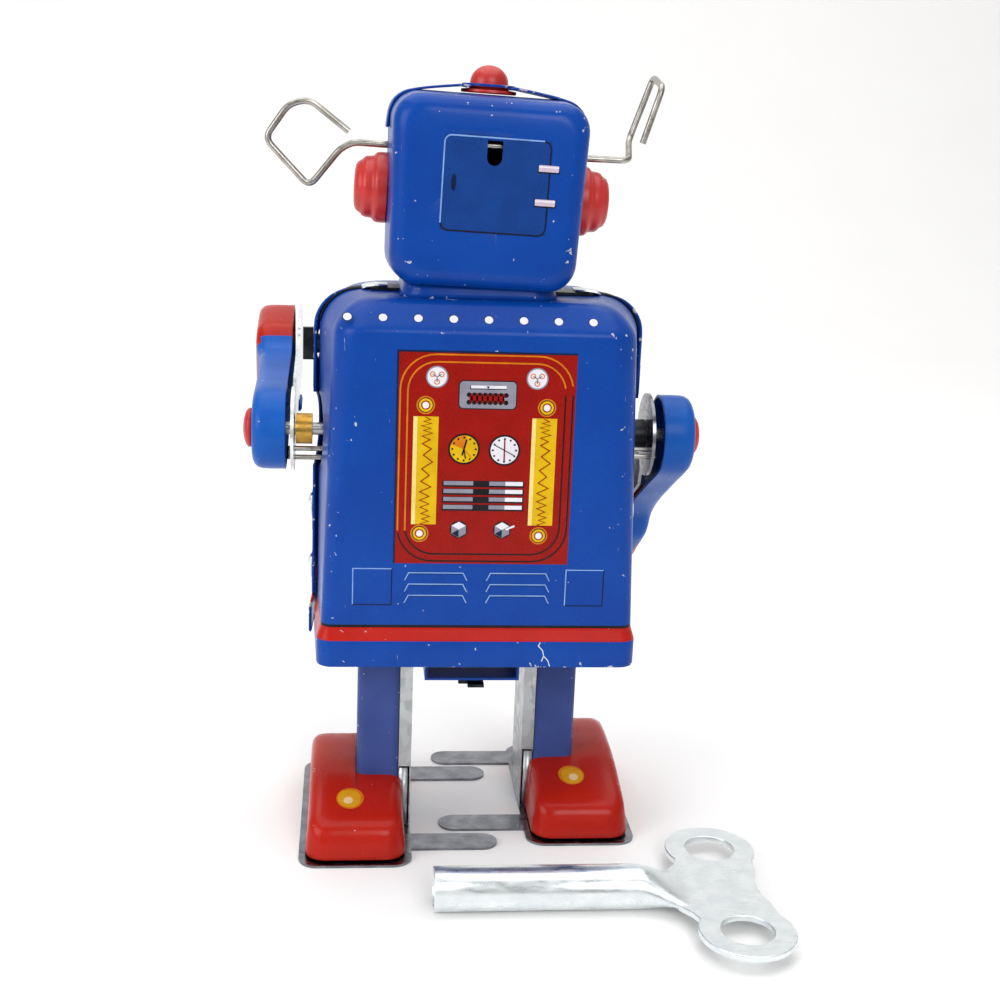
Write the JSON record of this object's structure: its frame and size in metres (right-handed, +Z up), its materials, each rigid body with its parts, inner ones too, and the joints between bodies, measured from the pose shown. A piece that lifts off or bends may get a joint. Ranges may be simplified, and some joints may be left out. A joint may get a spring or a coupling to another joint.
{
  "type": "toy robot",
  "caption": "Wind-up walking robot of pressed tin with stepping feet, swinging arms, wire aerials and a loose winding key.",
  "frame": {"origin": "on the floor under the middle of the body, at the level of the soles' undersides", "axes": "+Z up, -Y the way the robot faces and walks, +X towards the robot's own left"},
  "size_m": [0.081, 0.0904, 0.12],
  "materials": {
    "tin_blue": "gloss",
    "tin_red": "gloss",
    "bare_steel": "satin",
    "dark_steel": "satin",
    "brass": "satin",
    "plastic_red": "gloss"
  },
  "bodies": {
    "frame": {"rear_cover": "tin_blue", "front_cover": "tin_blue", "neck_plate": "dark_steel", "head_rear_shell": "tin_blue", "head_front_shell": "tin_blue", "head_strap": "bare_steel", "head_lamp": "plastic_red", "left_ear": "tin_red", "right_ear": "tin_red", "aerial_wire": "bare_steel", "left_motor_plate": "bare_steel", "right_motor_plate": "bare_steel", "motor_pillars": "bare_steel", "under_tray": "tin_blue", "tray_hook": "dark_steel", "leg_guide_pins": "bare_steel", "mainspring": "dark_steel", "left_arm_pivot": "bare_steel", "right_arm_pivot": "bare_steel", "left_bush": "brass", "right_bush": "brass"},
    "drive_wheel": {"great_wheel": "brass", "click_spring": "bare_steel"},
    "arbor": {"winding_arbor": "dark_steel", "ratchet_wheel": "bare_steel"},
    "click_lever": {"click": "bare_steel"},
    "first_pair": {"first_arbor": "bare_steel", "first_wheel": "brass"},
    "second_pair": {"second_arbor": "bare_steel", "second_wheel": "brass"},
    "crank": {"crank_shaft": "bare_steel", "crank_pinion": "bare_steel", "crank_wheel": "brass", "left_crank": "bare_steel", "right_crank": "bare_steel"},
    "governor": {"governor_pinion": "bare_steel", "governor_flywheel": "brass"},
    "left_leg": {"left_leg_plate": "bare_steel", "left_leg_cover": "tin_blue", "left_shoe": "tin_red", "left_sole": "bare_steel"},
    "right_leg": {"right_leg_plate": "bare_steel", "right_leg_cover": "tin_blue", "right_shoe": "tin_red", "right_sole": "bare_steel"},
    "left_arm": {"left_arm_shell": "tin_blue", "left_arm_plate": "bare_steel", "left_arm_wire": "bare_steel", "left_arm_cap": "plastic_red"},
    "right_arm": {"right_arm_shell": "tin_blue", "right_arm_plate": "bare_steel", "right_arm_wire": "bare_steel", "right_arm_cap": "plastic_red"},
    "key": {"winding_key": "bare_steel"}
  },
  "joints": [
    {"name": "crank_spin", "type": "hinge", "parent": "frame", "child": "crank", "pos_m": [0, 0, 0.05291], "axis": [1, 0, 0], "continuous": true},
    {"name": "second_spin", "type": "hinge", "parent": "frame", "child": "second_pair", "pos_m": [0, 0, 0.06241], "axis": [1, 0, 0], "continuous": true},
    {"name": "first_spin", "type": "hinge", "parent": "frame", "child": "first_pair", "pos_m": [0, 0.0055, 0.07015], "axis": [1, 0, 0], "continuous": true},
    {"name": "drive_spin", "type": "hinge", "parent": "frame", "child": "drive_wheel", "pos_m": [0, -0.002, 0.0775], "axis": [1, 0, 0], "continuous": true},
    {"name": "governor_spin", "type": "hinge", "parent": "frame", "child": "governor", "pos_m": [0, 0.0055, 0.04676], "axis": [1, 0, 0], "continuous": true},
    {"name": "winding", "type": "hinge", "parent": "drive_wheel", "child": "arbor", "pos_m": [0, -0.002, 0.0775], "axis": [1, 0, 0], "continuous": true},
    {"name": "click_lift", "type": "hinge", "parent": "drive_wheel", "child": "click_lever", "pos_m": [0, -0.0046, 0.082], "axis": [-1, 0, 0], "range_deg": [0, 12]},
    {"name": "left_leg_ride", "type": "hinge", "parent": "crank", "child": "left_leg", "pos_m": [0, 0.0032, 0.05291], "axis": [1, 0, 0], "continuous": true},
    {"name": "right_leg_ride", "type": "hinge", "parent": "crank", "child": "right_leg", "pos_m": [0, -0.0032, 0.05291], "axis": [1, 0, 0], "continuous": true},
    {"name": "left_arm_swing", "type": "hinge", "parent": "frame", "child": "left_arm", "pos_m": [0, 0.001, 0.0646], "axis": [-1, 0, 0], "range_deg": [-59, 4]},
    {"name": "right_arm_swing", "type": "hinge", "parent": "frame", "child": "right_arm", "pos_m": [0, 0.001, 0.0646], "axis": [-1, 0, 0], "range_deg": [-5, 58]},
    {"name": "key_lift", "type": "slide", "parent": "frame", "child": "key", "axis": [0, 0, 1], "range_m": [0, 0.05]}
  ],
  "couplings": [
    {"joint": "second_spin", "follows": "crank_spin", "ratio": -0.35714},
    {"joint": "first_spin", "follows": "crank_spin", "ratio": 0.12755},
    {"joint": "drive_spin", "follows": "crank_spin", "ratio": -0.03986},
    {"joint": "governor_spin", "follows": "crank_spin", "ratio": -2.6667},
    {"joint": "left_leg_ride", "follows": "crank_spin", "ratio": -1},
    {"joint": "right_leg_ride", "follows": "crank_spin", "ratio": -1}
  ]
}
